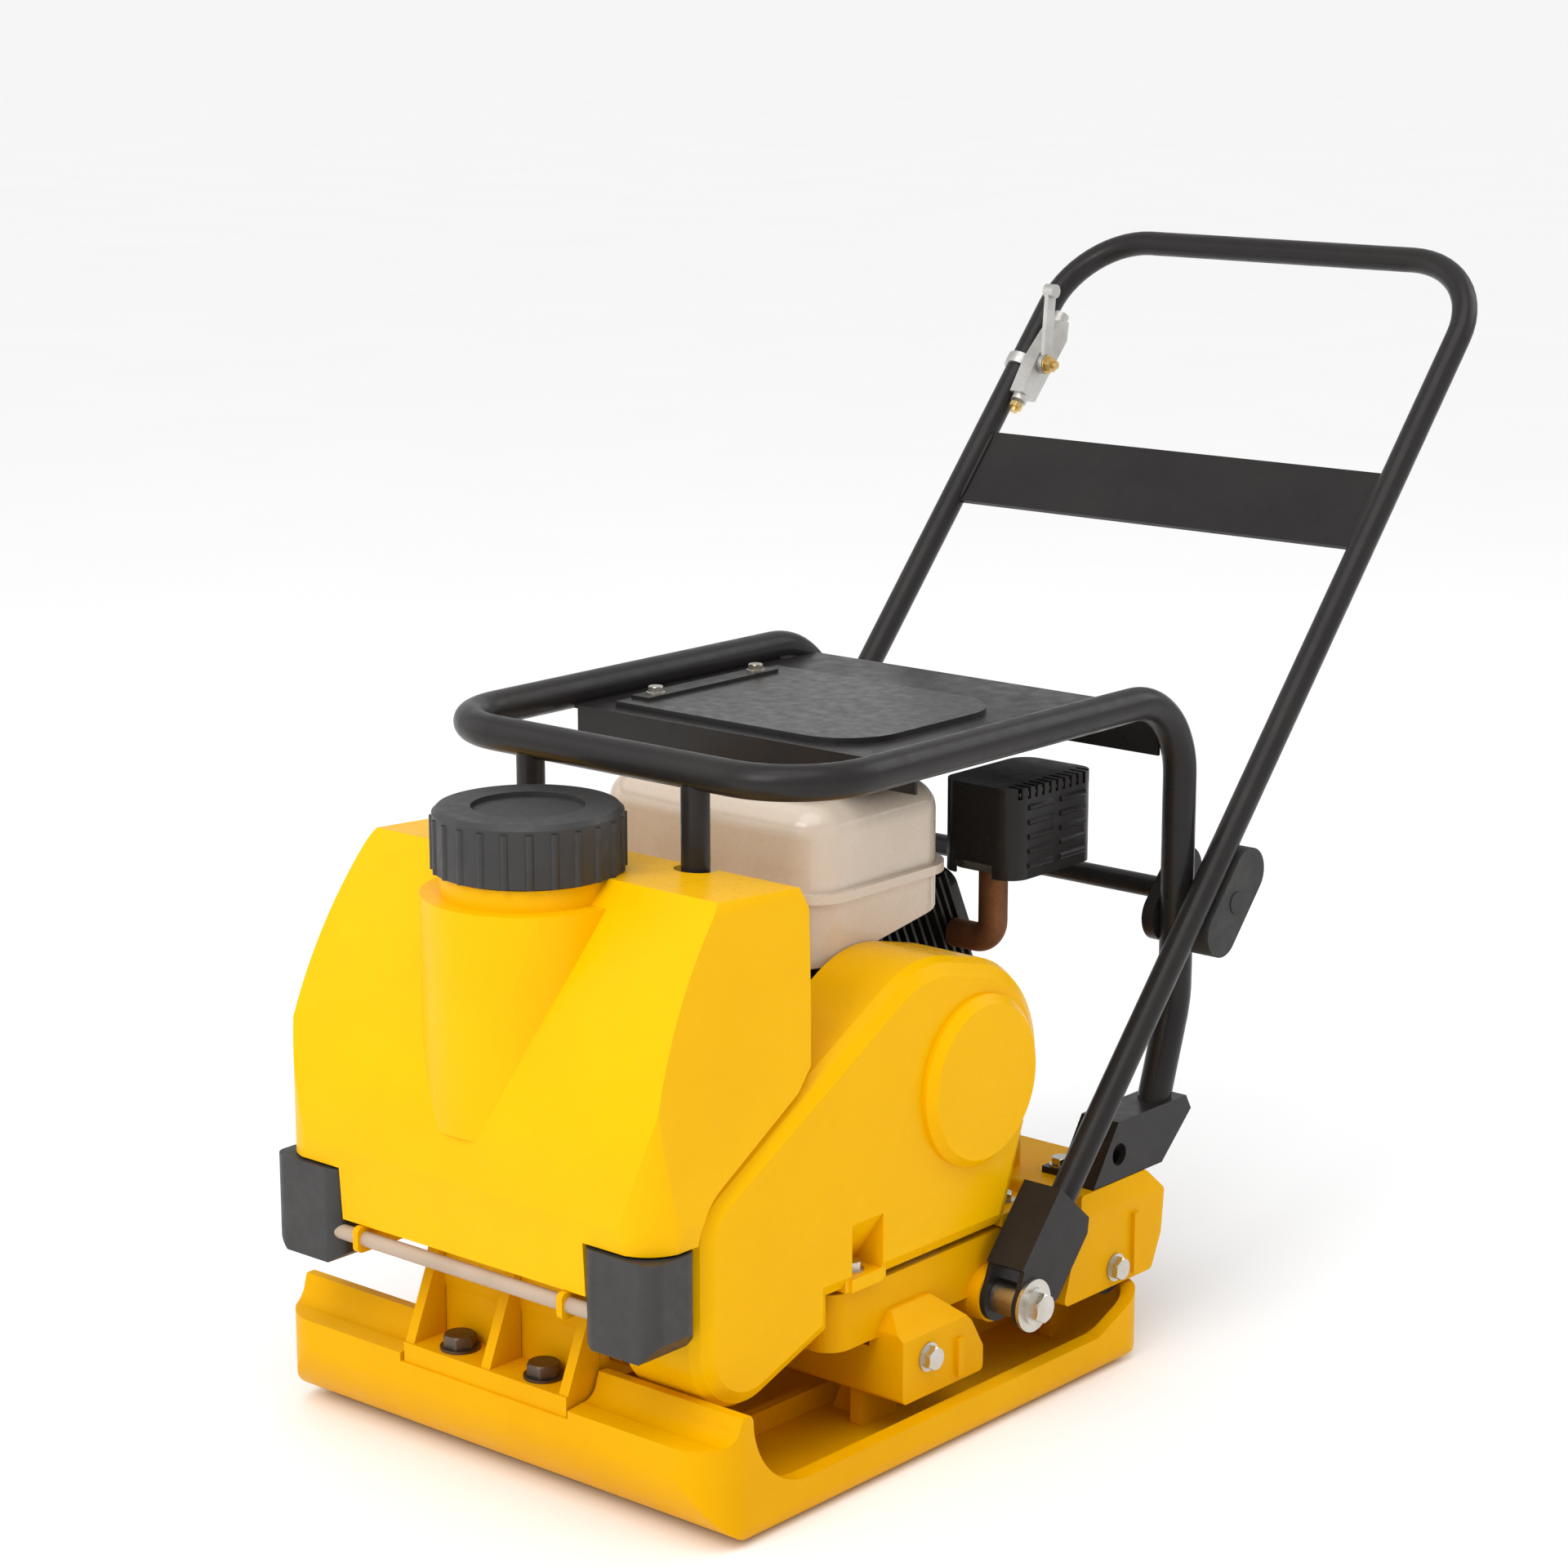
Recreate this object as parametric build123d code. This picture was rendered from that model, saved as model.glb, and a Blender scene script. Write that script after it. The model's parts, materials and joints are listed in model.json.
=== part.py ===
from build123d import *
import math
import os

# A walk-behind vibrating plate compactor with a water tank and a folding handle.
# Frame: millimetres, +X is the machine's right (belt) side, +Y is its rear
# (handle side), +Z is up.  The origin is on the ground under the middle of
# the base plate, so the plate's flat sole lies on Z = 0.

# ---------------------------------------------------------------- driving sizes
PLATE_HALF = 250.0          # half width of the base plate
NOSE_Y = -303.0             # front of the base plate
TAIL_Y = 287.0              # rear of the base plate
SOLE_FRONT_Y = -235.0       # where the flat sole starts to curve up
SOLE_REAR_Y = 232.0
RIM_TOP = 36.0              # height of the plate's side rims
RIDGE_TOP = 109.0           # height of the plate's front wings
SEAT_TOP = 79.0             # pads that carry the exciter

EXCITER_Y = -213.0          # exciter shaft
EXCITER_Z = 150.0
EXCITER_HALF = 96.0         # half length of the exciter body
EXCITER_R = 50.0

DECK_TOP = 150.0            # top of the engine bed's side ledges
PLINTH_TOP = 179.0          # machined seat under the engine
BED_HALF = 205.0
BED_FRONT_Y = -105.0
BED_REAR_Y = 333.0
MOUNT_PLACES = [(-13.0, 80.0), (252.0, 84.0)]   # (Y, Z) of the rubber mounts
MOUNT_R = 26.0

CRANK_Y = 68.0              # engine shaft
CRANK_Z = PLINTH_TOP + 106.0
CYLINDER_TILT = 25.0        # cylinder above the horizontal, pointing rearwards

BELT_X = 163.0              # middle of the belt
BELT_WIDTH = 13.0
BELT_HALF_DEPTH = 4.0
CLUTCH_BELT_R = 48.0
EXCITER_BELT_R = 36.0
GUARD_IN_X = 128.0
GUARD_OUT_X = 212.0
GUARD_WALL = 4.0

TANK_FRONT_Y = -328.0
TANK_REAR_Y = -116.0
TANK_HALF = 213.0
CAP_Y = -239.0
CAP_R = 79.0
NECK_TOP = 503.0
PIPE_Y = -322.0             # spray pipe
PIPE_Z = 187.0
PIPE_R = 6.5

FRAME_X = 206.0             # side tubes of the lifting frame
FRAME_FRONT_Y = -142.0
FRAME_REAR_Y = 373.0
FRAME_Z = 580.0
FRAME_R = 15.0
FRAME_BEND = 75.0
STRUT_X = 92.0
STRUT_R = 12.0
TOP_SHEET_Z = 571.0

PIVOT_Y = 98.0              # handle hinge
PIVOT_Z = 99.0
HANDLE_LEAN = 41.3          # degrees the legs lean back from the vertical
HANDLE_X = 238.0
HANDLE_R = 12.0
HANDLE_REACH = 1101.0       # pivot to the grip bar's centre line
HANDLE_BEND = 85.0
CHEEK_IN = 217.0            # hinge bracket, inner and outer faces
CHEEK_OUT = 255.5
CHEEK_T = 5.0

CLEAR = 0.1                 # radial play round a bolt in its hole
GAP = 0.3                   # play beside a part that turns


# ---------------------------------------------------------------- solid helpers
def box(x0, x1, y0, y1, z0, z1):
    """A box from its limits along each axis."""
    middle = Pos((x0 + x1) / 2, (y0 + y1) / 2, (z0 + z1) / 2)
    return middle * Box(x1 - x0, y1 - y0, z1 - z0)


def rod_x(x0, x1, y, z, r):
    """A round bar along X."""
    return Pos((x0 + x1) / 2, y, z) * Rot(0, 90, 0) * Cylinder(r, x1 - x0)


def rod_y(y0, y1, x, z, r):
    """A round bar along Y."""
    return Pos(x, (y0 + y1) / 2, z) * Rot(90, 0, 0) * Cylinder(r, y1 - y0)


def rod_z(z0, z1, x, y, r):
    """A round bar along Z."""
    return Pos(x, y, (z0 + z1) / 2) * Cylinder(r, z1 - z0)


def slab_x(x0, x1, outline):
    """A face drawn in Y and Z, as thick as x0 to x1."""
    return extrude(Plane.YZ.offset(x0) * outline, x1 - x0)


def slab_y(y0, y1, outline):
    """A face drawn in X and Z, as thick as y0 to y1."""
    plane = Plane(origin=(0, y1, 0), x_dir=(1, 0, 0), z_dir=(0, -1, 0))
    return extrude(plane * outline, y1 - y0)


def slab_z(z0, z1, outline):
    """A face drawn in X and Y, as thick as z0 to z1."""
    return extrude(Plane.XY.offset(z0) * outline, z1 - z0)


def polygon(*points):
    """A closed face with straight edges."""
    return make_face(Polyline(*points, close=True))


def rounded(face, radius):
    """The same face with every corner rounded."""
    return fillet(face.vertices(), radius)


def flip_x(shape):
    """The same shape on the other side of the machine."""
    return mirror(shape, about=Plane.YZ)


def pair(shape):
    """A shape and its mirror image, as separate solids."""
    return Compound(children=[shape, flip_x(shape)])


def group(shapes):
    """Separate solids that belong to one node."""
    return Compound(children=[solid for shape in shapes for solid in shape.solids()])


def bent_tube(points, bends, radius, wall):
    """A hollow tube along straight runs joined by tangent bends."""
    path = FilletPolyline(*points, radius=bends)
    plane = Plane(origin=path @ 0, z_dir=path % 0)
    section = Circle(radius) - Circle(radius - wall)
    return sweep(plane * section, path=path)


def hex_bolt(diameter, shank, washer=True):
    """A hex bolt along Z: the joint face at Z = 0, the head above it."""
    washer_t = 0.16 * diameter if washer else 0.0
    head = 0.65 * diameter
    bolt = rod_z(-shank, washer_t, 0, 0, diameter / 2)
    if washer:
        bolt += rod_z(0, washer_t, 0, 0, 1.05 * diameter)
    hexagon = RegularPolygon(0.78 * diameter, 6, major_radius=False)
    crown = rod_z(washer_t, washer_t + head, 0, 0, 0.88 * diameter)
    crown = chamfer(crown.edges().sort_by(Axis.Z)[-1], 0.1 * diameter)
    bolt += slab_z(washer_t, washer_t + head, hexagon) & crown
    return bolt


def turned_x(shape, side=1):
    """A shape made along Z, laid along +X (side 1) or -X (side -1)."""
    return Rot(0, 90 * side, 0) * shape


def belt_hull(offset):
    """The outline round both pulleys, as far out as the belt radius plus offset."""
    circles = Pos(CRANK_Y, CRANK_Z) * Circle(CLUTCH_BELT_R + offset)
    circles += Pos(EXCITER_Y, EXCITER_Z) * Circle(EXCITER_BELT_R + offset)
    return make_hull(circles.edges())


# ---------------------------------------------------------------- base plate
def plate_side_outline():
    """Side view of the plate's block: curved nose, flat sole, raised tail.

    Both ends stand out a little, and the plan view trims them off.
    """
    nose_y = NOSE_Y - 0.6
    tail_y = TAIL_Y + 0.6
    nose_r = SOLE_FRONT_Y - nose_y
    tail_r = tail_y - SOLE_REAR_Y
    ridge_y = -266.0
    scoop_r = 69.0
    slope_y = ridge_y + 12
    sole = Line((SOLE_FRONT_Y, 0), (SOLE_REAR_Y, 0))
    tail = RadiusArc((SOLE_REAR_Y, 0), (tail_y, tail_r), -tail_r)
    rim = Polyline(
        (tail_y, tail_r),
        (tail_y, 63),
        (TAIL_Y - 16, 63),
        (205, RIM_TOP),
        (slope_y + scoop_r, RIM_TOP),
    )
    scoop = RadiusArc((slope_y + scoop_r, RIM_TOP), (slope_y, RIM_TOP + scoop_r), scoop_r)
    wing = Polyline(
        (slope_y, RIM_TOP + scoop_r),
        (ridge_y + 9, RIDGE_TOP),
        (ridge_y, RIDGE_TOP),
        (ridge_y - 3, 101),
    )
    ledge = ThreePointArc((ridge_y - 3, 101), (ridge_y - 9, 91), (ridge_y - 20, 88))
    front = Polyline((ridge_y - 20, 88), (nose_y, 86), (nose_y, nose_r))
    nose = RadiusArc((nose_y, nose_r), (SOLE_FRONT_Y, 0), -nose_r)
    return make_face(Curve() + [sole, tail, rim, scoop, wing, ledge, front, nose])


def plate_plan(inset, corner):
    """Plan view of the plate, drawn in from its edge by inset."""
    length = TAIL_Y - NOSE_Y - 2 * inset
    width = 2 * (PLATE_HALF - inset)
    return Pos(0, (TAIL_Y + NOSE_Y) / 2) * RectangleRounded(width, length, corner)


def plate_tray():
    """The space inside the rims, above the plate's floor."""
    floor = 11.0
    side = make_face(
        Curve()
        + [
            Line((-246, 200), (-246, 72)),
            RadiusArc((-246, 72), (-185, floor), -61),
            Line((-185, floor), (226, floor)),
            RadiusArc((226, floor), (272, 57), -46),
            Polyline((272, 57), (272, 200), (-246, 200)),
        ]
    )
    section = polygon((-218, floor), (218, floor), (238, 40), (238, 200), (-238, 200), (-238, 40))
    tray = slab_x(-240, 240, side) & slab_y(-260, 275, section)
    return tray & slab_z(0, 220, plate_plan(12, 32))


def mount_post(y, z):
    """The upright on the plate's floor that holds a rubber mount's inner end."""
    face = rounded(polygon((y - 24, 8), (y + 24, 8), (y + 22, z + 30), (y - 22, z + 30)), 6)
    post = slab_x(168, 180, face)
    rib = slab_y(y - 5, y + 5, polygon((132, 8), (168, 8), (168, z + 14)))
    return post + rib


def base_plate():
    block = slab_x(-PLATE_HALF, PLATE_HALF, plate_side_outline())
    section = polygon((-PLATE_HALF, 0), (PLATE_HALF, 0), (PLATE_HALF, 130), (-PLATE_HALF, 130))
    low_corners = section.vertices().sort_by(Axis.Y)[:2]
    block &= slab_y(NOSE_Y - 10, TAIL_Y + 10, fillet(low_corners, 17))
    block &= slab_z(0, 130, plate_plan(0, 42))
    front_seat = block & box(-96, 96, NOSE_Y, -222, 4, SEAT_TOP)
    plate = block - plate_tray() - box(-96, 96, NOSE_Y - 1, -230, SEAT_TOP, 130)
    plate += front_seat
    plate += box(-70, 70, -172, -122, 8, SEAT_TOP)
    for x in (-120, 120):
        plate += box(x - 5, x + 5, -228, 268, 8, 30)
    for y, z in MOUNT_PLACES:
        plate += mount_post(y, z) + flip_x(mount_post(y, z))
        for side in (-1, 1):
            plate -= rod_x(side * 174 - 20, side * 174 + 20, y, z, 6 + CLEAR)
    for x, y in exciter_bolt_places():
        plate -= rod_z(SEAT_TOP - 30, SEAT_TOP + 1, x, y, 8 + CLEAR)
    return plate


# ---------------------------------------------------------------- exciter
def exciter_bolt_places():
    return [(-48, -280), (48, -280), (-48, -136), (48, -136)]


def cover_bolt_places():
    """(Y, Z) of the screws round an exciter end cover."""
    places = []
    for step in range(6):
        angle = math.radians(30 + 60 * step)
        places.append((EXCITER_Y + 43 * math.cos(angle), EXCITER_Z + 43 * math.sin(angle)))
    return places


def exciter_housing():
    body = rod_x(-EXCITER_HALF, EXCITER_HALF, EXCITER_Y, EXCITER_Z, EXCITER_R)
    body += box(-66, 66, EXCITER_Y - 42, EXCITER_Y + 42, 90, EXCITER_Z)
    body += box(-93, 93, -301, -254, SEAT_TOP, 96)
    body += box(-66, 66, -256, -120, SEAT_TOP, 96)
    body += box(-93, 93, -261, -250, 96, 188)
    for x in (-93, -5, 83):
        body += slab_x(x, x + 10, polygon((-299, 96), (-262, 96), (-262, 184)))
    body -= rod_x(-64, 64, EXCITER_Y, EXCITER_Z, 43)
    body -= rod_x(-EXCITER_HALF, EXCITER_HALF, EXCITER_Y, EXCITER_Z, 36)
    for x, y in exciter_bolt_places():
        body -= rod_z(SEAT_TOP - 1, 97, x, y, 8 + CLEAR)
    for y, z in cover_bolt_places():
        body -= rod_x(-EXCITER_HALF, 20 - EXCITER_HALF, y, z, 4 + CLEAR)
        body -= rod_x(EXCITER_HALF - 20, EXCITER_HALF, y, z, 4 + CLEAR)
    return body


def exciter_covers():
    return group([exciter_cover(-1), exciter_cover(1)])


def exciter_cover(side):
    """An end cover; the right one lets the shaft through."""
    near = side * EXCITER_HALF
    far = side * (EXCITER_HALF + 8)
    cover = rod_x(min(near, far), max(near, far), EXCITER_Y, EXCITER_Z, EXCITER_R)
    if side > 0:
        cover -= rod_x(near - 1, far + 1, EXCITER_Y, EXCITER_Z, 15.4)
    for y, z in cover_bolt_places():
        cover -= rod_x(min(near, far) - 1, max(near, far) + 1, y, z, 4 + CLEAR)
    return cover


def cover_screws():
    screws = []
    for y, z in cover_bolt_places():
        for side in (-1, 1):
            screw = turned_x(hex_bolt(8, 18, washer=False), side)
            screws.append(Pos(side * (EXCITER_HALF + 8), y, z) * screw)
    return group(screws)


def exciter_bearings():
    ring = rod_x(72, 92, EXCITER_Y, EXCITER_Z, 36 - 0.02) - rod_x(70, 95, EXCITER_Y, EXCITER_Z, 15.05)
    return pair(ring)


def eccentric_shaft():
    shaft = rod_x(-94, 182, EXCITER_Y, EXCITER_Z, 15)
    weight = rod_x(-58, 58, EXCITER_Y, EXCITER_Z, 40)
    weight -= box(-59, 59, EXCITER_Y - 50, EXCITER_Y + 50, EXCITER_Z, EXCITER_Z + 50)
    return shaft + weight


def sheave(y, z, belt_r, bore, hub_x0, hub_x1):
    """A grooved pulley along X whose groove is centred on the belt."""
    rim = belt_r + 6
    half = BELT_WIDTH / 2 + GAP
    wheel = rod_x(BELT_X - half - 5, BELT_X + half + 5, y, z, rim)
    groove = rod_x(BELT_X - half, BELT_X + half, y, z, rim + 1)
    groove -= rod_x(BELT_X - half, BELT_X + half, y, z, belt_r - BELT_HALF_DEPTH - GAP)
    wheel -= groove
    wheel += rod_x(hub_x0, hub_x1, y, z, bore + 8)
    return wheel - rod_x(hub_x0 - 1, hub_x1 + 1, y, z, bore)


def exciter_pulley():
    return sheave(EXCITER_Y, EXCITER_Z, EXCITER_BELT_R, 15.02, 142, 178)


def exciter_bolts():
    return group(Pos(x, y, 96) * hex_bolt(16, 38) for x, y in exciter_bolt_places())


# ---------------------------------------------------------------- engine bed
def front_pocket():
    """Right front lug of the engine bed, sloping down and outwards."""
    side = polygon((-46, 46), (-46, 106), (-34, 121), (18, 121), (46, 95), (62, 68), (62, 46))
    front = polygon((100, 46), (232, 46), (232, 101), (206, 124), (100, 124))
    return slab_x(100, 232, rounded(side, 5)) & slab_y(-46, 62, front)


def rear_pocket():
    """Right rear lug of the engine bed, which also carries the frame's foot."""
    side = polygon((176, 67), (207, 160), (304, 160), (326, 138), (322, 98), (308, 67))
    front = polygon((150, 67), (232, 67), (232, 142), (227, 160), (150, 160))
    return slab_x(150, 232, rounded(side, 6)) & slab_y(172, 330, front)


def pocket_rib(y0, y1, z0, z1):
    """A raised vertical rib on a lug's outer face."""
    return box(228, 236, y0, y1, z0, z1)


def engine_bed():
    bed = slab_z(100, DECK_TOP, Pos(0, (BED_FRONT_Y + BED_REAR_Y) / 2)
                 * RectangleRounded(2 * BED_HALF, BED_REAR_Y - BED_FRONT_Y, 22))
    bed += slab_z(DECK_TOP - 2, PLINTH_TOP, Pos(0, 102) * RectangleRounded(236, 344, 16))
    lug = box(78, 112, -157, -100, 136, DECK_TOP)
    lug += slab_x(90, 100, polygon((-152, 137), (-100, 137), (-100, 104)))
    boss = rod_x(176, CHEEK_IN - GAP, PIVOT_Y, PIVOT_Z, 24)
    boss += box(186, BED_HALF, PIVOT_Y - 20, PIVOT_Y + 20, 99, 140)
    for piece in (lug, front_pocket(), rear_pocket(), pocket_rib(24, 32, 52, 84), pocket_rib(276, 284, 72, 128)):
        bed += piece + flip_x(piece)
    bed -= box(-196, 196, BED_FRONT_Y + 9, BED_REAR_Y - 9, 90, DECK_TOP - 10)
    bed -= box(-108, 108, -60, 264, 130, PLINTH_TOP - 10)
    front_hollow = slab_x(107, 225, polygon((-41, 40), (-41, 112), (13, 112), (34, 92), (50, 64), (50, 40)))
    front_hollow &= slab_y(-42, 53, polygon((107, 40), (225, 40), (225, 99), (206, 112), (107, 112)))
    rear_hollow = slab_x(140, 225, polygon((184, 40), (212, 126), (318, 126), (312, 98), (296, 40)))
    for hollow in (front_hollow, rear_hollow):
        bed -= hollow + flip_x(hollow)
    bed += boss + flip_x(boss)
    for y, z in MOUNT_PLACES:
        seat = rod_x(200, 225, y, z, MOUNT_R + CLEAR)
        bed -= seat + flip_x(seat)
        bed -= rod_x(-240, 240, y, z, 6 + CLEAR)
    bed -= rod_x(-240, 240, PIVOT_Y, PIVOT_Z, 8 + CLEAR)
    for x, y in engine_bolt_places():
        bed -= rod_z(PLINTH_TOP - 12, PLINTH_TOP + 1, x, y, 4 + CLEAR)
    for x, y in guard_bolt_places():
        bed -= rod_z(DECK_TOP - 12, DECK_TOP + 1, x, y, 5 + CLEAR)
    for x, y in foot_bolt_places() + strut_bolt_places():
        bed -= rod_z(120, 162, x, y, 5 + CLEAR)
    return bed


def shock_mounts():
    """Rubber buffers with a waist, lying along X between the bed and the plate."""
    mounts = []
    for y, z in MOUNT_PLACES:
        rubber = rod_x(180, 225, y, z, MOUNT_R)
        ring = Pos(202.5, y, z) * Rot(0, 90, 0) * Torus(MOUNT_R + 8, 12)
        rubber -= ring
        rubber -= rod_x(170, 230, y, z, 6 + CLEAR)
        mounts += [rubber, flip_x(rubber)]
    return group(mounts)


def shock_mount_bolts():
    bolts = []
    for y, z in MOUNT_PLACES:
        bolt = Pos(232, y, z) * turned_x(hex_bolt(12, 64))
        bolts += [bolt, flip_x(bolt)]
    return group(bolts)


# ---------------------------------------------------------------- belt drive
def guard_bolt_places():
    return [(195, -68), (186, 148)]


def guard_outline(inset=0.0):
    """Side view of the belt guard in Y and Z, drawn in from its edge by inset."""
    rounds = Pos(EXCITER_Y, EXCITER_Z) * Circle(58 - inset)
    rounds += Pos(-222, 236) * Circle(49 - inset)
    rounds += Pos(20, 302) * Circle(108 - inset)
    rounds += Pos(66, 296) * Circle(103 - inset)
    outline = make_hull(rounds.edges())
    outline += polygon((-60, 152 + inset), (124 - inset, 152 + inset), (154 - inset, 240), (-60, 300))
    return outline - polygon((-110 - inset, 60), (400, 60), (400, 152 + inset), (-110 - inset, 152 + inset))


def guard_slope(x0, x1, inset0, inset1):
    """Part of the guard whose side draws in from one inset to another along X."""
    inner = Plane.YZ.offset(x0) * guard_outline(inset0)
    outer = Plane.YZ.offset(x1) * guard_outline(inset1)
    return loft([inner, outer], ruled=True)


def guard_dome(edge_x, inset=0.0):
    """Guard body with its outer edge rounded off in two slopes from edge_x."""
    dome = slab_x(GUARD_IN_X - inset, edge_x, guard_outline(inset))
    dome += guard_slope(edge_x, edge_x + 8, inset, inset + 4.6)
    return dome + guard_slope(edge_x + 8, edge_x + 14, inset + 4.6, inset + 15)


def belt_guard():
    skin = GUARD_OUT_X - 4
    shell = guard_dome(GUARD_OUT_X - 14)
    boss = rod_x(GUARD_OUT_X - 2, 223, CRANK_Y + 8, CRANK_Z + 10, 74)
    shell += chamfer(boss.faces().sort_by(Axis.X)[-1].edges(), 7)
    shell -= guard_dome(GUARD_OUT_X - 18, GUARD_WALL)
    shell -= box(GUARD_IN_X - 1, skin - 4, -114, 120, 140, 190)
    recess_wall = slab_y(-94, -42, polygon((171, 152), (210, 152), (210, 232)))
    shell += recess_wall & slab_x(170, GUARD_OUT_X - 2, guard_outline(1))
    shell -= slab_y(-88, -48, polygon((180, 163), (240, 163), (240, 252)))
    shell += box(172, GUARD_OUT_X, -88, -48, 152, 163)
    shell += box(174, skin, 118, 164, 152, 163)
    for x, y in guard_bolt_places():
        shell -= rod_z(150, 164, x, y, 5 + CLEAR)
    return shell


def guard_bolts():
    spacers = []
    for x, y in guard_bolt_places():
        ring = rod_z(DECK_TOP, 152, x, y, 9) - rod_z(149, 153, x, y, 5 + CLEAR)
        spacers += [ring, Pos(x, y, 163) * hex_bolt(10, 24)]
    return group(spacers)


def v_belt():
    loop = belt_hull(BELT_HALF_DEPTH) - belt_hull(-BELT_HALF_DEPTH)
    return slab_x(BELT_X - BELT_WIDTH / 2, BELT_X + BELT_WIDTH / 2, loop)


def clutch_drum():
    drum = rod_x(116, 150, CRANK_Y, CRANK_Z, 58) - rod_x(115, 146, CRANK_Y, CRANK_Z, 54)
    wheel = sheave(CRANK_Y, CRANK_Z, CLUTCH_BELT_R, 10.05, 146, 176)
    return drum - rod_x(140, 152, CRANK_Y, CRANK_Z, 10.05) + wheel


def clutch_shoes():
    """Spider on the shaft with three weighted shoes."""
    hub = rod_x(116, 144, CRANK_Y, CRANK_Z, 20)
    for step in range(3):
        turn = Pos(0, CRANK_Y, CRANK_Z) * Rot(120 * step, 0, 0) * Pos(0, -CRANK_Y, -CRANK_Z)
        shoe = rod_x(120, 142, CRANK_Y, CRANK_Z, 52) - rod_x(119, 143, CRANK_Y, CRANK_Z, 30)
        wedge = slab_x(119, 143, polygon((CRANK_Y, CRANK_Z), (CRANK_Y + 96, CRANK_Z + 72), (CRANK_Y - 96, CRANK_Z + 72)))
        hub += turn * (shoe & wedge)
        hub += turn * box(124, 138, CRANK_Y - 7, CRANK_Y + 7, CRANK_Z + 12, CRANK_Z + 34)
    return hub - rod_x(115, 145, CRANK_Y, CRANK_Z, 10.02)


# ---------------------------------------------------------------- water system
def tank_blank(inset):
    """The tank's body, drawn in from its outer skin by inset."""
    side = make_face(
        Curve()
        + [
            Polyline((TANK_FRONT_Y + 4, 199), (-284, 199), (-280, 240), (-152, 334), (TANK_REAR_Y, 372)),
            Polyline((TANK_REAR_Y, 372), (TANK_REAR_Y, 468), (-132, 499), (-226, 505)),
            ThreePointArc((-226, 505), (-300, 390), (TANK_FRONT_Y, 262)),
            Line((TANK_FRONT_Y, 262), (TANK_FRONT_Y + 4, 199)),
        ]
    )
    front = polygon((-208, 180), (208, 180), (TANK_HALF, 262), (192, 520), (-192, 520), (-TANK_HALF, 262))
    high = front.vertices().sort_by(Axis.Y)[-2:]
    plan = Pos(0, (TANK_FRONT_Y + TANK_REAR_Y) / 2) * RectangleRounded(
        2 * TANK_HALF, TANK_REAR_Y - TANK_FRONT_Y, 40)
    blank = slab_x(-TANK_HALF, TANK_HALF, offset(side, -inset))
    blank &= slab_y(TANK_FRONT_Y, TANK_REAR_Y, offset(fillet(high, 30), -inset))
    return blank & slab_z(150, 540, offset(plan, -inset))


def water_tank():
    wall = 5.0
    boss_r = 88.0
    tank = tank_blank(0) + rod_z(300, NECK_TOP - 17, 0, CAP_Y, boss_r)
    tank += rod_z(NECK_TOP - 18, NECK_TOP, 0, CAP_Y, 72) + rod_z(NECK_TOP - 2, 540, 0, CAP_Y, 66)
    corner = box(138, 216, -340, -276, 190, 244)
    tank -= corner + flip_x(corner)
    inner = tank_blank(wall) + rod_z(310, NECK_TOP - 22, 0, CAP_Y, boss_r - wall)
    guard_hollow = slab_x(GUARD_IN_X - 4, 230, guard_outline(-4))
    tank -= guard_hollow
    inner -= slab_x(GUARD_IN_X - 4 - wall, 230, guard_outline(-4 - wall))
    inner_corner = box(138 - wall, 216, -340, -276 + wall, 190, 244 + wall)
    inner -= inner_corner + flip_x(inner_corner)
    tunnel = rod_z(150, 560, STRUT_X, FRAME_FRONT_Y, STRUT_R + 6)
    sleeve = rod_z(150, 560, STRUT_X, FRAME_FRONT_Y, STRUT_R + 6 + wall)
    inner -= sleeve + flip_x(sleeve)
    inner += rod_z(NECK_TOP - 60, 545, 0, CAP_Y, 60)
    return tank - inner - tunnel - flip_x(tunnel)


def water_tank_cap():
    """Screw cap with grip ribs and a round recess in its top."""
    top = 556.0
    cap = rod_z(NECK_TOP + 2, top, 0, CAP_Y, CAP_R - 2)
    cap = chamfer(cap.edges().sort_by(Axis.Z)[-1], 4)
    for step in range(24):
        angle = math.radians(15 * step)
        rib_x = (CAP_R - 4) * math.cos(angle)
        rib_y = CAP_Y + (CAP_R - 4) * math.sin(angle)
        cap += rod_z(NECK_TOP + 2, top - 7, rib_x, rib_y, 4)
    cap -= rod_z(NECK_TOP, 548, 0, CAP_Y, 66.4)
    return cap - rod_z(top - 4, top + 1, 0, CAP_Y, 46)


def corner_guard():
    """Moulded bumper under the tank's right front corner."""
    plan = Pos(176.5, -303.5) * RectangleRounded(77, 55, 14)
    low = polygon((138, 168), (150, 160), (200, 160), (215, 176), (215, 242), (138, 242))
    guard = slab_z(155, 242, plan) & slab_y(-335, -272, low)
    guard -= box(145, 204, -300, -270, 168, 236)
    guard -= rod_y(PIPE_Y, -295, 196, PIPE_Z, 5.05)
    return guard - rod_x(130, 205, PIPE_Y, PIPE_Z, PIPE_R + 0.05)


def spray_pipe():
    pipe = rod_x(-200, 200, PIPE_Y, PIPE_Z, PIPE_R) - rod_x(-196, 196, PIPE_Y, PIPE_Z, PIPE_R - 1.5)
    for step in range(25):
        x = -120 + 10 * step
        pipe -= rod_z(PIPE_Z - 8, PIPE_Z, x, PIPE_Y, 0.9)
    inlet = rod_y(PIPE_Y + 4, -300, -196, PIPE_Z, 5) - rod_y(PIPE_Y, -299, -196, PIPE_Z, 3)
    return pipe + inlet


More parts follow.
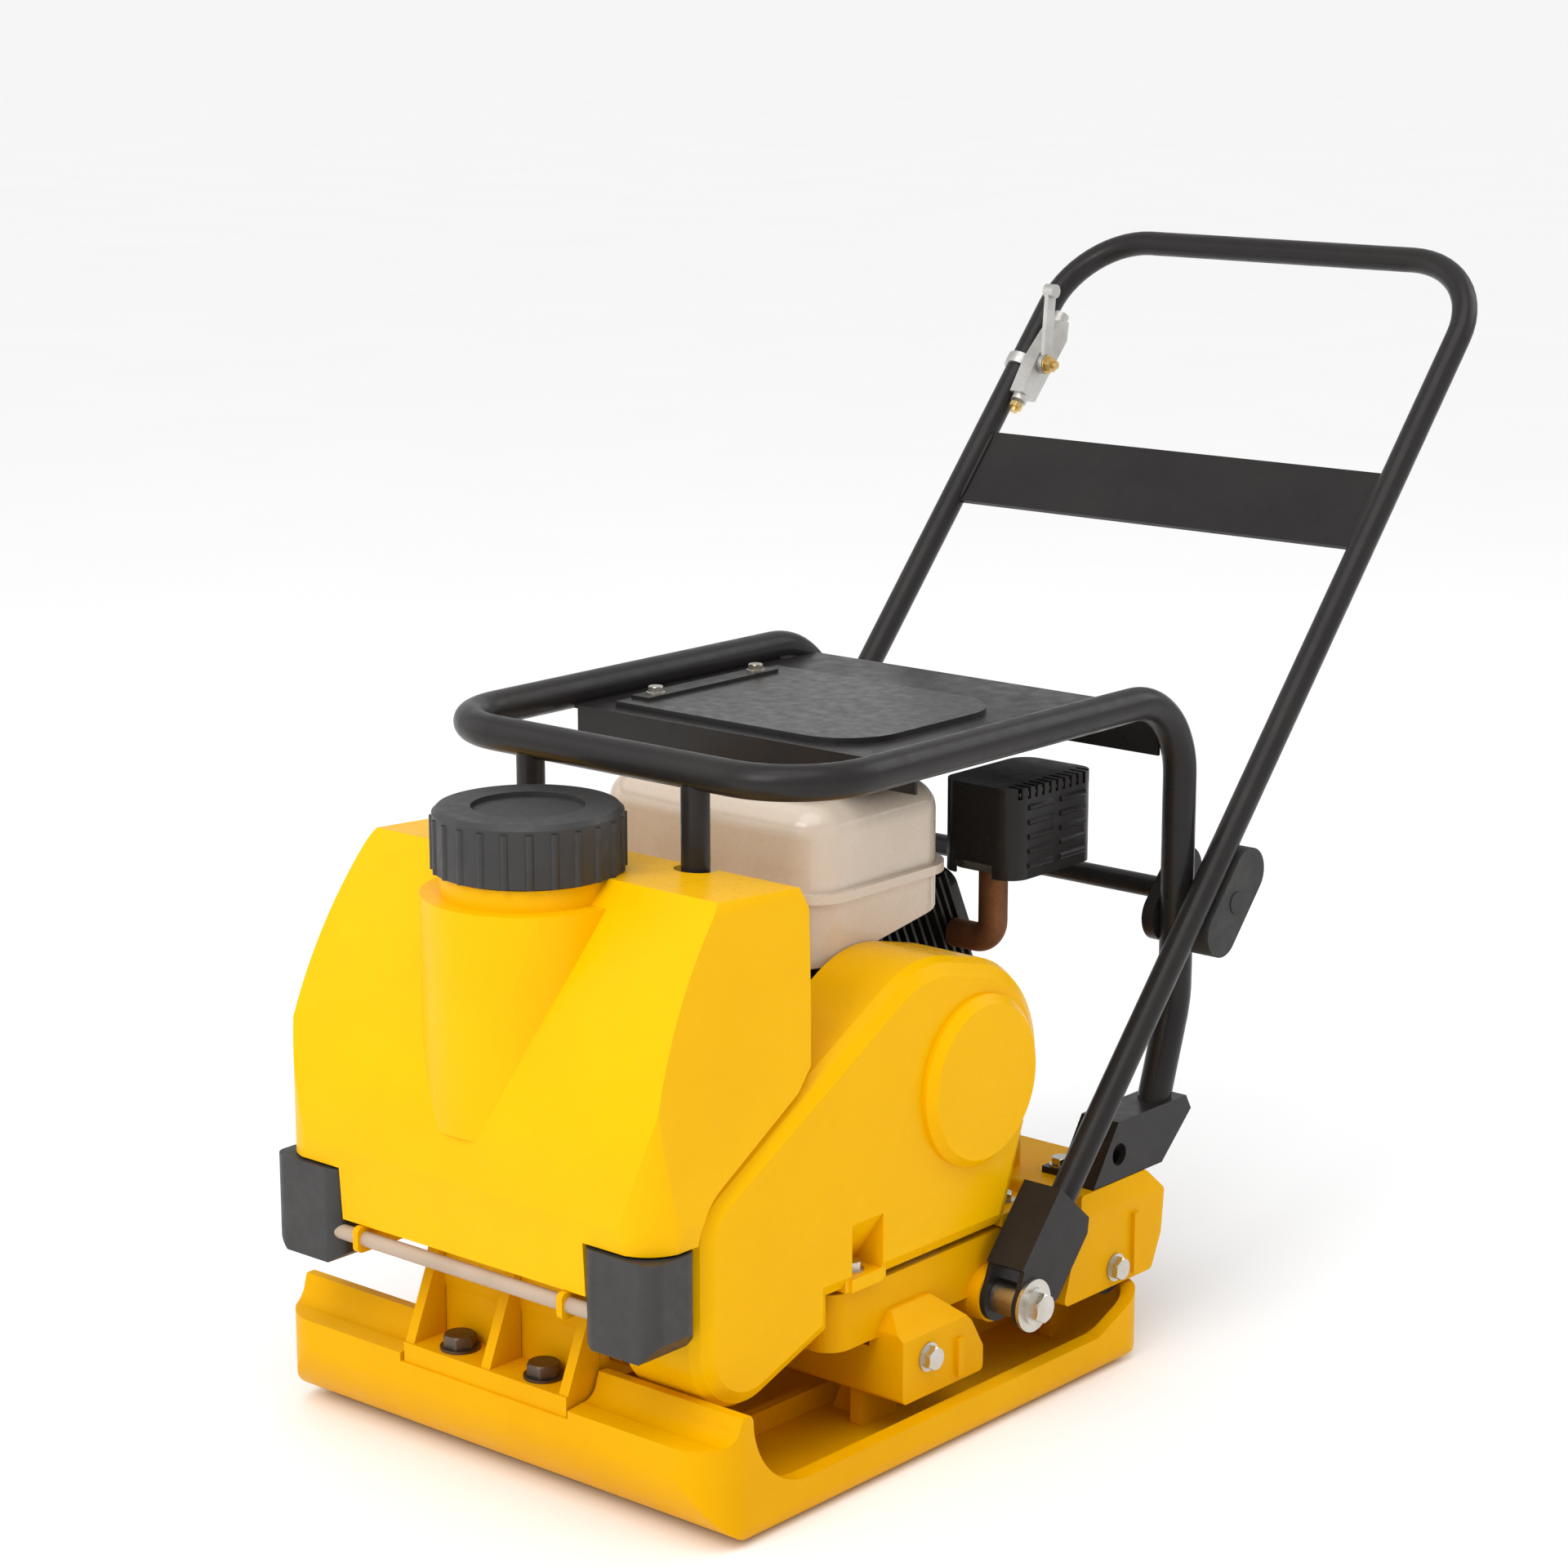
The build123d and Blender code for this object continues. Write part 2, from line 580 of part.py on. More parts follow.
def tank_arms():
    """Flat arms from the bed that carry the spray pipe and the tank."""
    side = polygon((-331, 176), (-331, 198), (-176, 198), (-112, 148), (-112, 124), (-126, 124), (-186, 176))
    arm = slab_x(113, 119, rounded(side, 5))
    arm += box(113, 126, -114.5, BED_FRONT_Y, 124, 148)
    return pair(arm - rod_x(100, 130, PIPE_Y, PIPE_Z, PIPE_R + 0.05))


def water_tap():
    """Brass plug valve on the back of the tank, with a hose tail below."""
    body = rod_y(TANK_REAR_Y, -86, -178, 384, 7) + rod_z(362, 400, -178, -92, 9)
    body += rod_z(346, 364, -178, -92, 5)
    return body


def water_tap_lever():
    lever = rod_z(400.3, 406, -178, -92, 7) + box(-183, -173, -92, -52, 401, 405)
    return lever + rod_z(401, 405, -178, -52, 5)


def water_hose():
    """From the tap down behind the tank and forward to the spray pipe."""
    route = [(-178, -92, 346), (-178, -92, PIPE_Z), (-196, -230, PIPE_Z), (-196, -299.9, PIPE_Z)]
    path = FilletPolyline(*route, radius=[40, 60])
    section = Plane(origin=path @ 0, z_dir=path % 0) * Circle(6)
    return sweep(section, path=path)


# ---------------------------------------------------------------- lifting frame
def lifting_frame():
    """One long tube: a loop in front, side rails, rear bends and uprights."""
    points = [(FRAME_X, 340, 200), (FRAME_X, FRAME_REAR_Y, 300), (FRAME_X, FRAME_REAR_Y, FRAME_Z)]
    points.append((FRAME_X, FRAME_FRONT_Y, FRAME_Z))
    points += [(-x, y, z) for x, y, z in reversed(points)]
    bends = [110] + [FRAME_BEND] * 4 + [110]
    tube = bent_tube(points, bends, FRAME_R, 2.6)
    foot_space = box(150, 260, 300, 420, 150, 214)
    return tube - foot_space - flip_x(foot_space)


def strut_bolt_places():
    return [(STRUT_X, -117), (-STRUT_X, -117)]


def frame_struts():
    """Front struts, each with a flat foot on the bed's lug."""
    strut = rod_z(DECK_TOP + 6, FRAME_Z - 10, STRUT_X, FRAME_FRONT_Y, STRUT_R)
    strut -= rod_z(DECK_TOP + 7, FRAME_Z, STRUT_X, FRAME_FRONT_Y, STRUT_R - 2.5)
    strut += box(79, 108, -156, -106, DECK_TOP, DECK_TOP + 6)
    strut -= rod_x(60, 120, FRAME_FRONT_Y, FRAME_Z, FRAME_R)
    strut -= rod_z(DECK_TOP - 1, DECK_TOP + 7, STRUT_X, -117, 5 + CLEAR)
    return pair(strut)


def strut_bolts():
    return group(Pos(x, y, DECK_TOP + 6) * hex_bolt(10, 24) for x, y in strut_bolt_places())


def foot_bolt_places():
    return [(173, 250), (173, 322), (-173, 250), (-173, 322)]


def frame_foot():
    """Folded foot of the rear upright, pierced by a lifting eye."""
    side = polygon((226, 160), (262, 214), (366, 214), (374, 200), (330, 160))
    inner = polygon((240, 155), (270, 208), (380, 208), (380, 155))
    foot = slab_x(186, 226, side) - slab_x(192, 220, inner)
    foot += box(161, 188, 238, 334, 160, 166)
    foot += box(188, 224, 238, 334, 160, 165)
    foot -= rod_x(180, 230, 264, 184, 10)
    for x, y in foot_bolt_places()[:2]:
        foot -= rod_z(159, 167, x, y, 5 + CLEAR)
    return foot


def foot_bolts():
    return group(Pos(x, y, 166) * hex_bolt(10, 24) for x, y in foot_bolt_places())


def top_sheet():
    """Sheet over the engine, folded down in front, with a hole over the fuel cap."""
    sheet = box(-193.9, 193.9, 17, 296, TOP_SHEET_Z - 3, TOP_SHEET_Z)
    sheet += box(-190.5, 190.5, 290, 342, TOP_SHEET_Z - 3, TOP_SHEET_Z)
    sheet += box(-190, 190, 17, 20, TOP_SHEET_Z - 24, TOP_SHEET_Z - 2)
    sheet -= rod_z(560, 580, FUEL_CAP_X, FUEL_CAP_Y, 46)
    for y in FLAP_BOLT_Y:
        sheet -= rod_z(560, 580, FLAP_BOLT_X, y, 4 + CLEAR)
    return sheet


def rear_sheet():
    return box(-190.5, 190.5, 361, 364, 522, 563)


FLAP_EDGE_X = -135.0
FLAP_BOLT_X = -147.0
FLAP_BOLT_Y = (72.0, 206.0)
FLAP_T = 5.0
FUEL_CAP_X = -28.0
FUEL_CAP_Y = 84.0


def flap_clamped_edge():
    """The part of the rubber flap that is held under the strip."""
    edge = box(-160, FLAP_EDGE_X, 34, 250, TOP_SHEET_Z, TOP_SHEET_Z + FLAP_T)
    for y in FLAP_BOLT_Y:
        edge -= rod_z(560, 590, FLAP_BOLT_X, y, 4 + CLEAR)
    return edge


def rubber_flap():
    """The free part of the flap, with rounded outer corners."""
    outline = Pos((FLAP_EDGE_X + 112) / 2, 142) * Rectangle(112 - FLAP_EDGE_X, 216)
    outline = fillet(outline.vertices().sort_by(Axis.X)[-2:], 56)
    return slab_z(TOP_SHEET_Z, TOP_SHEET_Z + FLAP_T, outline)


def flap_strip():
    strip = box(-158, -137, 52, 226, TOP_SHEET_Z + FLAP_T, TOP_SHEET_Z + FLAP_T + 3)
    for y in FLAP_BOLT_Y:
        strip -= rod_z(570, 590, FLAP_BOLT_X, y, 4 + CLEAR)
    return strip


def flap_bolts():
    seat = TOP_SHEET_Z + FLAP_T + 3
    return group(Pos(FLAP_BOLT_X, y, seat) * hex_bolt(8, 14) for y in FLAP_BOLT_Y)


STOP_Z = 390.0


def leg_y(z):
    """Y of a handle leg's centre line at height z."""
    return PIVOT_Y + (z - PIVOT_Z) * math.tan(math.radians(HANDLE_LEAN))


def stop_y():
    """The stop bar lies one buffer radius and one leg radius behind the legs."""
    return leg_y(STOP_Z) + (HANDLE_R + GAP + 23) / math.cos(math.radians(HANDLE_LEAN))


def leaning_obround(length, width, y, z):
    """A round-ended face in Y and Z, parallel to the handle's legs."""
    return Pos(y, z) * Rot(0, 0, 90 - HANDLE_LEAN) * SlotOverall(length, width)


def stop_bar():
    """Cross bar behind the uprights, with a plate welded to each upright."""
    y = stop_y()
    bar = rod_x(-252, 252, y, STOP_Z, 10)
    plate = slab_x(181, 193, leaning_obround(92, 46, y - 8, STOP_Z))
    plate -= rod_z(200, 560, FRAME_X, FRAME_REAR_Y, FRAME_R + 0.05)
    return bar + plate + flip_x(plate)


def stop_buffers():
    """Rubber pads on the ends of the stop bar, which the legs lean on."""
    y = stop_y()
    pad = slab_x(225, 251, leaning_obround(108, 46, y, STOP_Z))
    return pair(pad - rod_x(220, 255, y, STOP_Z, 10.02))


# ---------------------------------------------------------------- handle
def lean(shape):
    """From the handle's own frame (pivot at the origin, legs upright) to its place."""
    return Pos(0, PIVOT_Y, PIVOT_Z) * Rot(-HANDLE_LEAN, 0, 0) * shape


def handle_tube():
    """Both legs and the grip bar, bent from one tube."""
    low = 30
    points = [(-HANDLE_X, 0, low), (-HANDLE_X, 0, HANDLE_REACH), (HANDLE_X, 0, HANDLE_REACH), (HANDLE_X, 0, low)]
    return lean(bent_tube(points, HANDLE_BEND, HANDLE_R, 2.3))


def handle_cross_plate():
    plate = box(-HANDLE_X, HANDLE_X, -2.5, 2.5, 774, 857)
    legs = rod_z(700, 900, HANDLE_X, 0, HANDLE_R)
    return lean(plate - legs - flip_x(legs))


def handle_bracket():
    """Folded clevis at the foot of a leg."""
    cheek = make_face(
        Curve()
        + [
            Polyline((-32, 26), (-32, 96), (24, 96), (32, 84), (32, 22), (22, 0)),
            ThreePointArc((22, 0), (0, -22), (-22, 0)),
            Line((-22, 0), (-32, 26)),
        ]
    )
    bracket = slab_x(CHEEK_IN, CHEEK_IN + CHEEK_T, cheek)
    bracket += slab_x(CHEEK_OUT - CHEEK_T, CHEEK_OUT, cheek)
    bracket += box(CHEEK_IN, CHEEK_OUT, -32, -27, 17, 96)
    bracket += box(CHEEK_IN, CHEEK_OUT, -32, 20, 91, 96)
    bracket -= rod_z(80, 100, HANDLE_X, 0, HANDLE_R)
    bracket -= rod_x(200, 260, 0, 0, 8.08)
    return lean(bracket)


def pivot_bushes():
    bush = rod_x(CHEEK_IN + CHEEK_T + GAP, CHEEK_OUT - CHEEK_T - GAP, PIVOT_Y, PIVOT_Z, 15)
    return pair(bush - rod_x(205, 255, PIVOT_Y, PIVOT_Z, 8.02))


def pivot_bolts():
    """Large washer and bolt on the outside, shank into the bed's boss."""
    bolt = rod_x(178, 259, PIVOT_Y, PIVOT_Z, 8)
    bolt += rod_x(CHEEK_OUT + GAP, CHEEK_OUT + GAP + 3, PIVOT_Y, PIVOT_Z, 23)
    bolt += Pos(CHEEK_OUT + GAP + 3, PIVOT_Y, PIVOT_Z) * turned_x(hex_bolt(15, 2))
    return pair(bolt)


def throttle_bracket():
    """Cast throttle box and its clamp band on the left leg."""
    x = -HANDLE_X
    band = rod_z(936, 948, x, 0, HANDLE_R + 3) - rod_z(930, 950, x, 0, HANDLE_R)
    body = slab_x(x + 14, x + 30, polygon((-12, 902), (12, 906), (14, 984), (4, 1000), (-10, 992), (-16, 940)))
    body += rod_z(896, 1004, x + 22, -2, 8)
    body += box(x + 10, x + 18, -7, 7, 936, 948)
    body -= rod_x(x + 8, x + 34, -4, 942, 4.08)
    return lean(body + band - rod_z(890, 1010, x, 0, HANDLE_R))


def throttle_lever():
    x = -HANDLE_X
    lever = rod_x(x + 30.3, x + 36, -4, 942, 10)
    lever += slab_x(x + 30.5, x + 35, polygon((-10, 942), (2, 946), (-40, 1006), (-52, 1000)))
    lever += rod_x(x + 28, x + 40, -46, 1002, 7)
    return lean(lever - rod_x(x + 25, x + 42, -4, 942, 4.08))


def throttle_bolt():
    x = -HANDLE_X
    bolt = rod_x(x + 18, x + 48, -4, 942, 4)
    bolt += Pos(x + 36.3, -4, 942) * turned_x(hex_bolt(9, 0.1))
    stop = Pos(x + 22, -2, 888) * hex_bolt(8, 4, washer=False)
    return lean(group([bolt, stop]))


# ---------------------------------------------------------------- engine
def along_cylinder(distance, rise=0.0):
    """(Y, Z) of a point on the cylinder's axis, or above it by rise."""
    tilt = math.radians(CYLINDER_TILT)
    y = CRANK_Y + distance * math.cos(tilt) - rise * math.sin(tilt)
    return y, CRANK_Z + distance * math.sin(tilt) + rise * math.cos(tilt)


def cylinder_box(start, end, half_x, half_v):
    """A block along the cylinder's axis."""
    tilted = Pos(0, CRANK_Y, CRANK_Z) * Rot(CYLINDER_TILT, 0, 0)
    return tilted * box(-half_x, half_x, start, end, -half_v, half_v)


def engine_bolt_places():
    return [(-81, 12), (81, 12), (-81, 124), (81, 124)]


def engine_block():
    """Crankcase and finned cylinder, cast in one."""
    return crankcase() + cylinder_block() + tank_posts()


def crankcase():
    side = rounded(polygon((-14, PLINTH_TOP), (150, PLINTH_TOP), (150, 300), (122, 352), (-14, 346), (-26, 240)), 14)
    case = slab_x(-92, 86, side)
    case += box(-92, 92, -6, 142, PLINTH_TOP, PLINTH_TOP + 10)
    case += rod_x(80, 92, CRANK_Y, CRANK_Z, 58)
    case += rod_x(86, 100, CRANK_Y, CRANK_Z, 26)
    case -= slab_x(-84, 78, rounded(offset(polygon((-14, 187), (150, 187), (150, 300), (122, 344), (-14, 338), (-20, 240)), -8), 8))
    case -= rod_x(-100, 110, CRANK_Y, CRANK_Z, 12.05)
    case -= rod_x(-100, 110, -8, 214, 10 + CLEAR)
    for x, y in engine_bolt_places():
        case -= rod_z(PLINTH_TOP - 1, PLINTH_TOP + 60, x, y, 4 + CLEAR)
        case -= rod_z(PLINTH_TOP + 10, PLINTH_TOP + 60, x, y, 12)
    return case - cylinder_box(40, 140, 40, 40)


def cylinder_block():
    """Finned barrel that slides into the crankcase's mouth."""
    block = cylinder_box(52, 168, 39.5, 39.5)
    for step in range(7):
        start = 100 + 10 * step
        block += cylinder_box(start, start + 3, 58, 54)
    bore = Pos(0, CRANK_Y, CRANK_Z) * Rot(CYLINDER_TILT, 0, 0) * rod_y(40, 169, 0, 0, 34)
    solid_case = slab_x(-92, 86, polygon((-14, 180), (150, 180), (150, 300), (122, 352), (-14, 346), (-26, 240)))
    fins_clear = block - bore
    return (fins_clear & cylinder_box(52, 98, 39.5, 39.5)) + (fins_clear - solid_case)


def cylinder_head():
    head = cylinder_box(168, 204, 44, 42)
    for step in range(4):
        start = 170 + 9 * step
        head += cylinder_box(start, start + 3, 60, 58)
    plug_hole = Pos(0, CRANK_Y, CRANK_Z) * Rot(CYLINDER_TILT, 0, 0) * rod_z(20, 70, -30, 190, 8)
    return head - plug_hole


def valve_cover():
    tilted = Pos(0, CRANK_Y, CRANK_Z) * Rot(CYLINDER_TILT, 0, 0)
    cover = tilted * slab_y(204, 226, RectangleRounded(86, 78, 16))
    cover += tilted * slab_y(204, 208, RectangleRounded(100, 92, 18))
    return cover


def crankshaft():
    shaft = rod_x(-150, 100, CRANK_Y, CRANK_Z, 12) + rod_x(99, 182, CRANK_Y, CRANK_Z, 10)
    return shaft


def flywheel():
    """Flywheel with cooling vanes on its outer face."""
    wheel = rod_x(-118, -100, CRANK_Y, CRANK_Z, 82)
    vane = box(-134, -117, CRANK_Y + 42, CRANK_Y + 80, CRANK_Z - 1.5, CRANK_Z + 1.5)
    for step in range(20):
        turn = Pos(0, CRANK_Y, CRANK_Z) * Rot(18 * step, 0, 0) * Pos(0, -CRANK_Y, -CRANK_Z)
        wheel += turn * vane
    return wheel - rod_x(-140, -99, CRANK_Y, CRANK_Z, 12.02)


def fan_cover():
    """Cooling shroud on the left of the engine, open towards the cylinder."""
    high = along_cylinder(105, 40)
    low = along_cylinder(105, -52)
    round_part = Pos(CRANK_Y, CRANK_Z) * Circle(98)
    duct = polygon((CRANK_Y - 4, CRANK_Z + 97), high, low, (CRANK_Y + 10, CRANK_Z - 94))
    outline = round_part + duct
    shroud = slab_x(-146, -96, outline)
    shroud = chamfer(shroud.faces().sort_by(Axis.X)[0].edges(), 7)
    inside = slab_x(-143, -95, offset(outline, -3))
    shroud -= chamfer(inside.faces().sort_by(Axis.X)[0].edges(), 6)
    return shroud - rod_x(-150, -140, CRANK_Y, CRANK_Z, 70)


def recoil_starter():
    """Recoil starter cover: radial slots round a plain centre."""
    cover = rod_x(-178, -146, CRANK_Y, CRANK_Z, 80)
    cover = chamfer(cover.faces().sort_by(Axis.X)[0].edges(), 8)
    cover += rod_x(-150, -146, CRANK_Y, CRANK_Z, 86)
    inside = rod_x(-175, -145, CRANK_Y, CRANK_Z, 77)
    cover -= chamfer(inside.faces().sort_by(Axis.X)[0].edges(), 7)
    slot = box(-180, -140, CRANK_Y + 40, CRANK_Y + 66, CRANK_Z - 2.2, CRANK_Z + 2.2)
    for step in range(28):
        turn = Pos(0, CRANK_Y, CRANK_Z) * Rot(360 / 28 * step, 0, 0) * Pos(0, -CRANK_Y, -CRANK_Z)
        cover -= turn * slot
    cover += rod_x(-176, -152, CRANK_Y, CRANK_Z, 30)
    cover += rod_z(GRIP_Z - 22, GRIP_Z, GRIP_X, GRIP_Y, 9)
    return cover - rod_z(GRIP_Z - 40, GRIP_Z + 1, GRIP_X, GRIP_Y, 4)


GRIP_X = -160.0
GRIP_Y = CRANK_Y + 56
GRIP_Z = CRANK_Z + 70


def starter_grip():
    """T-shaped pull grip with a stub of rope, sitting on the rope guide."""
    place = Pos(GRIP_X, GRIP_Y, GRIP_Z + GAP)
    stem = Pos(0, 0, 10) * Cone(8, 10, 20)
    bar = Pos(0, 0, 26) * Rot(90, 0, 0) * Cylinder(9, 84)
    rope = rod_z(-84, 1, 0, 0, 2.2)
    return place * (stem + fillet(bar.edges(), 5) + rope)


def air_cleaner():
    return group([air_cleaner_base(), air_cleaner_cover()])


def air_cleaner_base():
    base = box(-118, -36, 190, 300, 424, 440)
    base += box(-96, -60, 150, 200, 396, 436)
    return base


def air_cleaner_cover():
    outline = Pos(-77, 245) * RectangleRounded(92, 120, 16)
    cover = slab_z(440, 516, outline)
    cover = fillet(cover.faces().sort_by(Axis.Z)[-1].edges(), 12)
    cover -= slab_z(439, 512, Pos(-77, 245) * RectangleRounded(86, 114, 13))
    return cover - rod_z(505, 520, -77, 245, 3 + CLEAR)


def air_cleaner_nut():
    nut = rod_z(516, 524, -77, 245, 7) + rod_z(440, 528, -77, 245, 3)
    return nut + box(-91, -63, 243.5, 246.5, 519, 532)


def carburettor():
    body = box(-94, -62, 158, 188, 352, 395.7) + rod_z(326, 354, -78, 173, 17)
    body += rod_y(142, 159, -78, 376, 12)
    return body


def choke_lever():
    lever = rod_x(-106, -94.3, 178, 386, 5)
    return lever + box(-106, -103, 175, 181, 386, 426 - 6) + box(-114, -103, 174, 182, 410, 420)


def fuel_tap_lever():
    lever = rod_x(-106, -94.3, 166, 362, 6)
    return lever + box(-106, -102, 164, 198, 358, 366)


def engine_switch():
    return rod_x(-166, -146.4, -18, 330, 8) + box(-170, -160, -20, -16, 326, 344)


def exhaust_elbow():
    y, z = along_cylinder(186)
    path = FilletPolyline((61, y, z), (104, y, z), (104, y, 430.9), radius=18)
    plane = Plane(origin=path @ 0, z_dir=path % 0)
    return sweep(plane * (Circle(13) - Circle(10.5)), path=path)


MUFFLER = dict(x0=70, x1=142, y0=214, y1=324, z0=431, z1=504)


def muffler():
    m = MUFFLER
    can = slab_z(m["z0"], m["z1"], Pos((m["x0"] + m["x1"]) / 2, (m["y0"] + m["y1"]) / 2)
                 * RectangleRounded(m["x1"] - m["x0"], m["y1"] - m["y0"], 18))
    tail = rod_y(324, 338, 100, 450, 11) - rod_y(320, 340, 100, 450, 8)
    return can + tail


def muffler_guard():
    """Sheet cover over the muffler, with slots and rows of louvres."""
    m = MUFFLER
    centre = Pos((m["x0"] + m["x1"]) / 2, (m["y0"] + m["y1"]) / 2)
    outer = slab_z(m["z0"] - 3, m["z1"] + 6, centre * RectangleRounded(84, 122, 20))
    outer -= slab_z(m["z0"] - 4, m["z1"] + 4, centre * RectangleRounded(80, 118, 18))
    for step in range(11):
        y = m["y0"] + 5 + 10 * step
        outer -= box(m["x1"] - 10, m["x1"] + 8, y - 2, y + 2, m["z1"] - 4, m["z1"] + 8)
    for row in range(5):
        z = m["z0"] + 6 + 13 * row
        for y in (m["y0"] + 32, m["y0"] + 78):
            louvre = box(m["x1"] + 3.5, m["x1"] + 8, y - 18, y + 18, z, z + 6)
            louvre = chamfer(louvre.edges().filter_by(Axis.Y).sort_by(Axis.X)[-2:], 2)
            outer += louvre
    outer -= rod_y(320, 345, 100, 450, 13)
    return outer - box(84, 124, 200, 260, 420, 440)


def fuel_tank():
    return fuel_tank_lower() + fuel_tank_upper()


def fuel_tank_lower():
    plan = Pos(0, 58) * RectangleRounded(252, 180, 34)
    block = slab_z(392, 455, plan)
    wedge = slab_x(-130, 130, polygon((-40, 392), (160, 424), (160, 455), (-40, 455)))
    block &= wedge
    block += slab_z(451, 455, Pos(0, 58) * RectangleRounded(266, 194, 40))
    inner = slab_z(396, 456, Pos(0, 58) * RectangleRounded(246, 174, 31))
    inner &= slab_x(-130, 130, polygon((-40, 396), (160, 428), (160, 460), (-40, 460)))
    return block - inner


def fuel_tank_upper():
    plan = Pos(0, 58) * RectangleRounded(252, 180, 34)
    block = slab_z(455, 530, plan)
    block = fillet(block.faces().sort_by(Axis.Z)[-1].edges(), 26)
    block += slab_z(455, 459, Pos(0, 58) * RectangleRounded(266, 194, 40))
    inner = slab_z(454, 527, Pos(0, 58) * RectangleRounded(246, 174, 31))
    inner = fillet(inner.faces().sort_by(Axis.Z)[-1].edges(), 24)
    block += rod_z(526, 538, FUEL_CAP_X, FUEL_CAP_Y, 24)
    return block - inner - rod_z(500, 540, FUEL_CAP_X, FUEL_CAP_Y, 20)


def fuel_cap():
    cap = rod_z(533, 556, FUEL_CAP_X, FUEL_CAP_Y, 32)
    cap = chamfer(cap.edges().sort_by(Axis.Z)[-1], 4)
    for step in range(6):
        angle = math.radians(60 * step)
        cap -= rod_z(530, 560, FUEL_CAP_X + 37 * math.cos(angle), FUEL_CAP_Y + 37 * math.sin(angle), 10)
    return cap - rod_z(532, 549, FUEL_CAP_X, FUEL_CAP_Y, 24.4)


def tank_posts():
    """Two cross webs on the crankcase that the fuel tank rests on."""
    front = box(-50, 50, -4, 6, 340, 391.8)
    rear = box(-50, 50, 92, 102, 344, 420)
    under_tank = slab_x(-60, 60, polygon((-40, 391.8), (160, 423.8), (160, 500), (-40, 500)))
    return front + rear - under_tank


def engine_bolts():
    return group(Pos(x, y, PLINTH_TOP + 10) * hex_bolt(8, 20) for x, y in engine_bolt_places())


# ---------------------------------------------------------------- write the parts
def m10_bolts():
    return group([guard_bolts(), foot_bolts(), strut_bolts()])


def m8_bolts():
    return group([cover_screws(), flap_bolts(), engine_bolts()])


def frame_sheets():
    return group([top_sheet(), rear_sheet()])


NODES = {
    "base_plate": base_plate,
    "exciter_housing": exciter_housing,
    "exciter_covers": exciter_covers,
    "exciter_bearings": exciter_bearings,
    "eccentric_shaft": eccentric_shaft,
    "exciter_pulley": exciter_pulley,
    "exciter_bolts": exciter_bolts,
    "engine_bed": engine_bed,
    "shock_mounts": shock_mounts,
    "shock_mount_bolts": shock_mount_bolts,
    "belt_guard": belt_guard,
    "v_belt": v_belt,
    "clutch_drum": clutch_drum,
    "clutch_shoes": clutch_shoes,
    "water_tank": water_tank,
    "water_tank_cap": water_tank_cap,
    "corner_guards": lambda: pair(corner_guard()),
    "spray_pipe": spray_pipe,
    "tank_arms": tank_arms,
    "water_tap": water_tap,
    "water_tap_lever": water_tap_lever,
    "water_hose": water_hose,
    "lifting_frame": lifting_frame,
    "frame_struts": frame_struts,
    "frame_feet": lambda: pair(frame_foot()),
    "m10_bolts": m10_bolts,
    "m8_bolts": m8_bolts,
    "frame_sheets": frame_sheets,
    "rubber_flap": rubber_flap,
    "flap_clamped_edge": flap_clamped_edge,
    "flap_strip": flap_strip,
    "stop_bar": stop_bar,
    "stop_buffers": stop_buffers,
    "handle_tube": handle_tube,
    "handle_cross_plate": handle_cross_plate,
    "handle_brackets": lambda: pair(handle_bracket()),
    "pivot_bushes": pivot_bushes,
    "pivot_bolts": pivot_bolts,
    "throttle_bracket": throttle_bracket,
    "throttle_lever": throttle_lever,
    "throttle_bolt": throttle_bolt,
    "engine_block": engine_block,
    "cylinder_head": cylinder_head,
    "valve_cover": valve_cover,
    "crankshaft": crankshaft,
    "flywheel": flywheel,
    "fan_cover": fan_cover,
    "recoil_starter": recoil_starter,
    "starter_grip": starter_grip,
    "muffler": muffler,
    "muffler_guard": muffler_guard,
    "exhaust_elbow": exhaust_elbow,
    "air_cleaner": air_cleaner,
    "air_cleaner_nut": air_cleaner_nut,
    "carburettor": carburettor,
    "choke_lever": choke_lever,
    "fuel_tap_lever": fuel_tap_lever,
    "fuel_tank": fuel_tank,
    "fuel_cap": fuel_cap,
    "engine_switch": engine_switch,
}

if __name__ == "__main__":
    os.makedirs("parts", exist_ok=True)
    for name, build in NODES.items():
        export_step(build(), f"parts/{name}.step")
        print("wrote", name)
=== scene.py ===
import bmesh
import bpy
import json
import math
from mathutils import Matrix, Vector


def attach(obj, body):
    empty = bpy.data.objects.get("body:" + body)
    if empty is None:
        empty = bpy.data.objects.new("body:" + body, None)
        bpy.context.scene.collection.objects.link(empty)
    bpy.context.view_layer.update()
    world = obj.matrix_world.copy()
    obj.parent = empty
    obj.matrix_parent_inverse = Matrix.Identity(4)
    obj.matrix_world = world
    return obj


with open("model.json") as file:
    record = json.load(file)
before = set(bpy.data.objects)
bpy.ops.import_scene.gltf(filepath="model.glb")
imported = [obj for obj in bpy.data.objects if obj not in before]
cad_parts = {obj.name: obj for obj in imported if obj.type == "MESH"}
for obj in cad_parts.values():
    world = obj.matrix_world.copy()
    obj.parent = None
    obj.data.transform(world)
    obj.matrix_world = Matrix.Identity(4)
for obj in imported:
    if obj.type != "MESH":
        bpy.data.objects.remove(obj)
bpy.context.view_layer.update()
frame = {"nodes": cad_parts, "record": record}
nodes = frame["nodes"]

HANDLE_LEAN = math.radians(41.3)
CROSS_PLATE_X = 0.2262                  # half width of the handle's cross plate
CROSS_PLATE_FACE = 0.0030               # its faces, measured across the handle
CROSS_PLATE_LOW = 0.776                 # its ends, measured up along the handle
CROSS_PLATE_HIGH = 0.855
BEAD_RADIUS = 0.0028
RIPPLE_PITCH = 0.0012
PIVOT = Vector((0.0, 0.098, 0.099))


